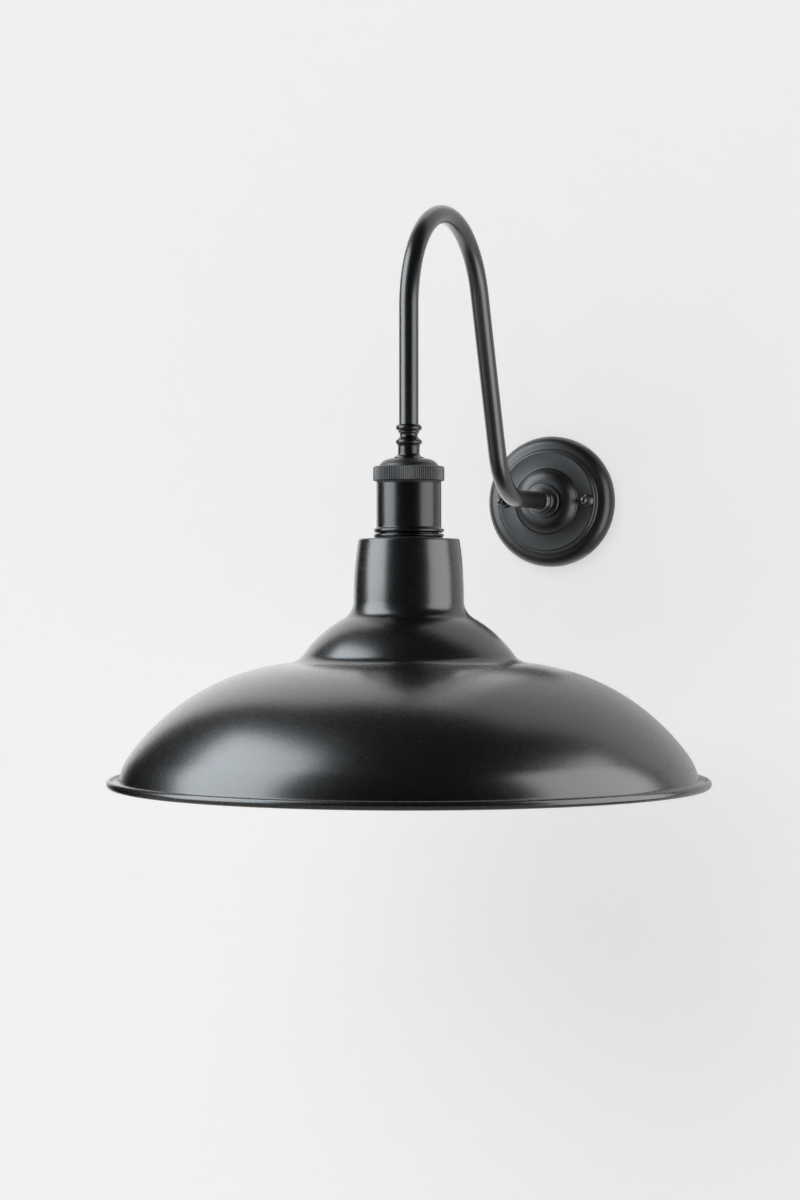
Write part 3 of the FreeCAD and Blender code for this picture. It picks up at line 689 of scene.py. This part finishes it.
def make_collar():
    """Turned boss between rose and tube."""
    seat, front = -COLLAR_HIGH.y / MM, -COLLAR_LOW.y / MM
    line = soften(trace(in_mm([
        (5.0, seat),
        (13.2, seat),
        (13.2, 26.2),
        ((12.9, 27.0), (12.1, 27.3)),
        (9.6, 27.6),
        ((8.7, 28.3), (8.9, 29.4)),
        ((9.8, 30.5), (8.9, 31.6)),
        ((7.7, 32.4), (8.0, 33.4)),
        ((8.5, 34.4), (8.0, 35.5)),
        (7.2, front),
        (6.5, front),
        (6.5, 26.0),
        (5.0, 26.0),
    ]), math.radians(8)), 0.2 * MM)
    collar = lathe("arm_collar_turned", line, on_rose_axis, 96)
    finish_piece(collar, "arm_collar", LANTERN, PAINT)


def make_ball_nut(node, body):
    """Cap nut: flared foot, short neck and a ball."""
    low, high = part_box(node)
    centre_x = (low.x + high.x) / 2
    foot = -high.y / MM
    tip = -low.y / MM
    ball = 3.15
    neck = 2.3
    centre = tip - ball
    bore = 1.55
    bore_end = foot + 8.6
    line = soften(trace(in_mm([
        (bore, foot),
        (4.6, foot),
        ((4.8, foot + 0.6), (4.5, foot + 1.2)),
        ((3.1, foot + 2.4), (2.5, foot + 4.6)),
        (neck, centre - math.sqrt(ball ** 2 - neck ** 2)),
        ((ball, centre), (0.0, tip)),
        (0.0, bore_end),
        (bore, bore_end),
    ]), math.radians(6)), 0.15 * MM)
    nut = lathe(node + "_turned", line, about(centre_x), 72)
    finish_piece(nut, node, body, PAINT)


# ---- bulb ------------------------------------------------------------------------------------------------
def make_bulb_cap():
    """Drawn screw cap with its rolled thread."""
    r = LAMP_CAP_HIGH.x
    high, low = LAMP_CAP_HIGH.z, LAMP_CAP_LOW.z
    shoulder = high - 2.6 * MM
    line = [(0.0, high), (9.8 * MM, high), (r - 0.5 * MM, shoulder + 0.4 * MM)]
    line += rows_between(r, shoulder, low + 1.5 * MM)
    line += [(r - 0.1 * MM, low), (r - 0.4 * MM, low), (r - 0.42 * MM, shoulder - 0.4 * MM)]
    line += [(9.6 * MM, high - 0.5 * MM), (0.0, high - 0.5 * MM)]
    thread = thread_relief(r, inward=True)
    cap = lathe("bulb_cap_threaded", line, on_shade_axis, 96, thread, math.radians(50))
    finish_piece(cap, "bulb_cap", BULB, NICKEL)


def make_globe():
    """Thin glass envelope, closed below, open into the cap above."""
    bottom = GLOBE_LOW.z
    r = GLOBE_HIGH.x
    centre = bottom + r
    top = GLOBE_HIGH.z
    cap_end = LAMP_CAP_LOW.z
    neck = 12.6 * MM
    shoulder = math.radians(28)
    waist = 16.2 * MM
    outer = trace([
        (neck, top),
        (neck, cap_end - 1.0 * MM),
        ((waist, centre + 28.0 * MM), (r * math.cos(shoulder), centre + r * math.sin(shoulder))),
        ((r * math.cos(shoulder), centre - r * math.sin(shoulder)), (0.0, bottom)),
    ], math.radians(2.5))
    wall = 0.8 * MM
    inner = thickened(outer, -wall)[len(outer):]
    inner[0] = (0.0, bottom + wall)
    globe = lathe("bulb_glass", outer + inner, on_shade_axis, 144)
    finish_piece(globe, "bulb_globe", BULB, GLASS)


def make_filaments():
    """Four LED filaments, each a coated rod between two metal tips."""
    low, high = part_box("bulb_filaments")
    count = 4
    segments = 20
    end_profile = [(0.0, 0.0), (0.35, 0.0), (0.35, 1.6), (0.7, 1.8), (0.8, 2.4)]
    metal_rows = 3                # rows of faces at each end that are bare metal
    verts = []
    faces = []
    tips = []
    for n in range(count):
        angle = (n + 0.5) * TAU / count
        way = Vector((math.cos(angle), math.sin(angle), 0))
        top = Vector((0, AXIS_Y, high.z - 1.2 * MM)) + way * 4.0 * MM
        foot = Vector((0, AXIS_Y, low.z + 1.2 * MM)) + way * 10.0 * MM
        along = (foot - top).normalized()
        side = along.cross(way.cross(along)).normalized()
        other = along.cross(side)
        length = (foot - top).length
        line = [(r * MM, h * MM) for r, h in end_profile]
        line += [(r * MM, length - h * MM) for r, h in reversed(end_profile)]
        base = len(verts)
        for r, h in line:
            for k in range(segments):
                a = TAU * k / segments
                verts.append(top + along * h + (side * math.cos(a) + other * math.sin(a)) * r)
        rows = len(line) - 1
        for i in range(rows):
            for k in range(segments):
                j = (k + 1) % segments
                a, b = base + i * segments, base + (i + 1) * segments
                faces.append([a + k, a + j, b + j, b + k])
                tips.append(i < metal_rows or i >= rows - metal_rows)
    mesh = bpy.data.meshes.new("bulb_led_filaments")
    mesh.from_pydata(verts, [], faces)
    mesh.shade_smooth()
    mesh.set_sharp_from_angle(angle=math.radians(40))
    piece = bpy.data.objects.new("bulb_led_filaments", mesh)
    bpy.context.collection.objects.link(piece)
    finish_piece(piece, "bulb_filaments", BULB, PHOSPHOR)
    mesh.materials.append(NICKEL)
    for face, tip in zip(mesh.polygons, tips):
        face.material_index = 1 if tip else 0


# ---- materials of the CAD nodes that stay ----------------------------------------------------------------
NODE_MATERIALS = {
    "wall_gasket": SILICONE,
    "mounting_bracket": STEEL,
    "rose_studs": STEEL,
    "stud_locknuts": STEEL,
    "nut_washers": RUBBER,
    "wall_nipple": STEEL,
    "arm_lockwasher": STEEL,
    "arm_locknut": STEEL,
    "earth_screw": BRASS,
    "earth_tag": BRASS,
    "terminal_block": NYLON,
    "terminal_inserts": BRASS,
    "terminal_screws": STEEL,
    "flex_cable": SHEATH,
    "lamp_nipple": STEEL,
    "cap_lockwasher": STEEL,
    "cap_locknut": STEEL,
    "cap_seal": RUBBER,
    "shade_gasket": RUBBER,
    "shade_ring_lower": TURNED_PAINT,
    "socket_insulator": PHENOLIC,
    "socket_side_contact": BRASS,
    "socket_centre_contact": BRASS,
    "socket_terminal_screws": STEEL,
    "lead_live": BROWN,
    "lead_neutral": BLUE,
    "lead_earth": EARTH,
    "bulb_contact": SOLDER,
    "bulb_cap_insulator": LAMP_GLASS,
    "bulb_stem": GLASS,
}


def dress_cad_nodes():
    """Gives each CAD node that stays its material."""
    for node, material in NODE_MATERIALS.items():
        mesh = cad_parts[node].data
        mesh.materials.clear()
        mesh.materials.append(material)


# ---- studio ----------------------------------------------------------------------------------------------
def stage_material(name, colour, glow):
    """A pale matt surface that is seen from its front only, so that it never hides the lantern's back."""
    s = Surface(name)
    darker = tuple(c * 0.985 for c in colour)
    s.link(s.shades(s.noise(1.6, 4), darker, colour), "Base Color")
    s.set(Roughness=0.9, Specular_IOR_Level=0.0)
    s.set(Emission_Color=(*colour, 1), Emission_Strength=glow)
    clear = s.add("ShaderNodeBsdfTransparent")
    mix = s.add("ShaderNodeMixShader")
    side = s.add("ShaderNodeNewGeometry")
    output = s.nodes["Material Output"]
    s.links.new(side.outputs["Backfacing"], mix.inputs["Fac"])
    s.links.new(s.shader.outputs["BSDF"], mix.inputs[1])
    s.links.new(clear.outputs["BSDF"], mix.inputs[2])
    s.links.new(mix.outputs["Shader"], output.inputs["Surface"])
    return s.material


def stage_plane(name, corners, material):
    """A flat piece of the studio, which isn't part of the lantern."""
    mesh = bpy.data.meshes.new(name)
    mesh.from_pydata(corners, [], [(0, 1, 2, 3)])
    mesh.materials.append(material)
    plane = bpy.data.objects.new(name, mesh)
    bpy.context.collection.objects.link(plane)
    return plane


def make_stage():
    """The wall that holds the lantern and a pale floor well below it."""
    pale = stage_material("pale_wall", (0.80, 0.80, 0.80), WALL_GLOW)
    stage_plane("wall", upright_card(-STAGE_HALF, STAGE_HALF, 0, FLOOR_Z, CEILING_Z), pale)
    ground = stage_material("pale_floor", (0.78, 0.78, 0.77), FLOOR_GLOW)
    stage_plane("floor", [
        (-STAGE_HALF, -STAGE_DEPTH, FLOOR_Z),
        (STAGE_HALF, -STAGE_DEPTH, FLOOR_Z),
        (STAGE_HALF, 0, FLOOR_Z),
        (-STAGE_HALF, 0, FLOOR_Z),
    ], ground)


def upright_card(left, right, y, foot, top):
    """The corners of a rectangle that faces -Y."""
    return [(left, y, foot), (right, y, foot), (right, y, top), (left, y, top)]


def make_flags():
    """Black cards that keep the far parts of the wall out of the lantern's reflections.

    Only reflections see them.
    """
    black = Surface("black_flag")
    black.link(black.shades(black.noise(20), (0.002, 0.002, 0.002), (0.004, 0.004, 0.004)), "Base Color")
    black.set(Roughness=1.0, Specular_IOR_Level=0.0)
    cards = {
        "left_flag": upright_card(-STAGE_HALF, FLAG_LEFT, FLAG_Y, FLAG_FOOT, CEILING_Z),
        "right_flag": upright_card(FLAG_RIGHT, STAGE_HALF, FLAG_Y, FLAG_FOOT, FLAG_TOP),
        "top_flag": upright_card(FLAG_LEFT, STAGE_HALF, FLAG_Y, FLAG_TOP, CEILING_Z),
    }
    for name, corners in cards.items():
        card = stage_plane(name, corners, black.material)
        card.visible_camera = False
        card.visible_diffuse = False
        card.visible_shadow = False


def softbox(name, place, target, size, power, roll=0.0):
    """A rectangular studio light. A roll above zero leans its top to the right, seen from the target."""
    data = bpy.data.lights.new(name, "AREA")
    data.shape = "RECTANGLE"
    data.size, data.size_y = size
    data.energy = power
    lamp = bpy.data.objects.new(name, data)
    lamp.location = place
    lamp.rotation_mode = "QUATERNION"
    aim = (Vector(target) - Vector(place)).to_track_quat("-Z", "Y")
    lamp.rotation_quaternion = aim @ Quaternion((0, 0, 1), math.radians(roll))
    lamp.visible_camera = False
    bpy.context.collection.objects.link(lamp)
    return lamp


def make_lights():
    """Two softboxes and the glow of the wall for the highlights, and one soft light that shades the wall."""
    holder = (0, AXIS_Y, -0.05)
    left = softbox("left_softbox", (-0.92, -0.90, 0.46), holder, size=(1.06, 1.64), power=32, roll=18)
    left.data.color = (0.88, 0.95, 1.0)
    beside = Vector((0.0, -0.295, -0.06))
    to_the_right = Vector((0.46, 0.0, 0.0))
    right = softbox("right_softbox", beside + to_the_right, beside, size=(0.45, 0.62), power=2.9)
    wash = softbox("wall_wash", (-0.27, -0.005, 0.0), (-0.27, -1.0, 0.0), size=(0.60, 1.86), power=2.6)
    shading = softbox("shading_light", (-0.9, -3.6, 1.9), (0.0, 0.0, 0.0), size=(4.2, 4.2), power=66)
    for light in (left, right, wash):
        light.visible_diffuse = False
    shading.visible_glossy = False


def make_surround():
    """A dark surround for reflections, which the camera sees as pale where the wall ends."""
    world = bpy.data.worlds.new("surround")
    world.use_nodes = True
    nodes = world.node_tree.nodes
    links = world.node_tree.links
    seen = nodes.new("ShaderNodeLightPath")
    pale = nodes.new("ShaderNodeMix")
    pale.data_type = "RGBA"
    pale.inputs["A"].default_value = (0.03, 0.03, 0.03, 1)
    pale.inputs["B"].default_value = (0.86, 0.86, 0.86, 1)
    links.new(seen.outputs["Is Camera Ray"], pale.inputs["Factor"])
    links.new(pale.outputs["Result"], nodes["Background"].inputs["Color"])
    bpy.context.scene.world = world


bpy.context.scene.view_settings.view_transform = "Standard"

make_shade()
make_holder_cap()
make_holder_body()
make_upper_ring()
make_socket_shell()
make_arm()
make_coupler()
make_rose()
make_collar()
make_ball_nut("ball_nut_left", "nut_left")
make_ball_nut("ball_nut_right", "nut_right")
make_bulb_cap()
make_globe()
make_filaments()
dress_cad_nodes()
make_stage()
make_flags()
make_lights()
make_surround()
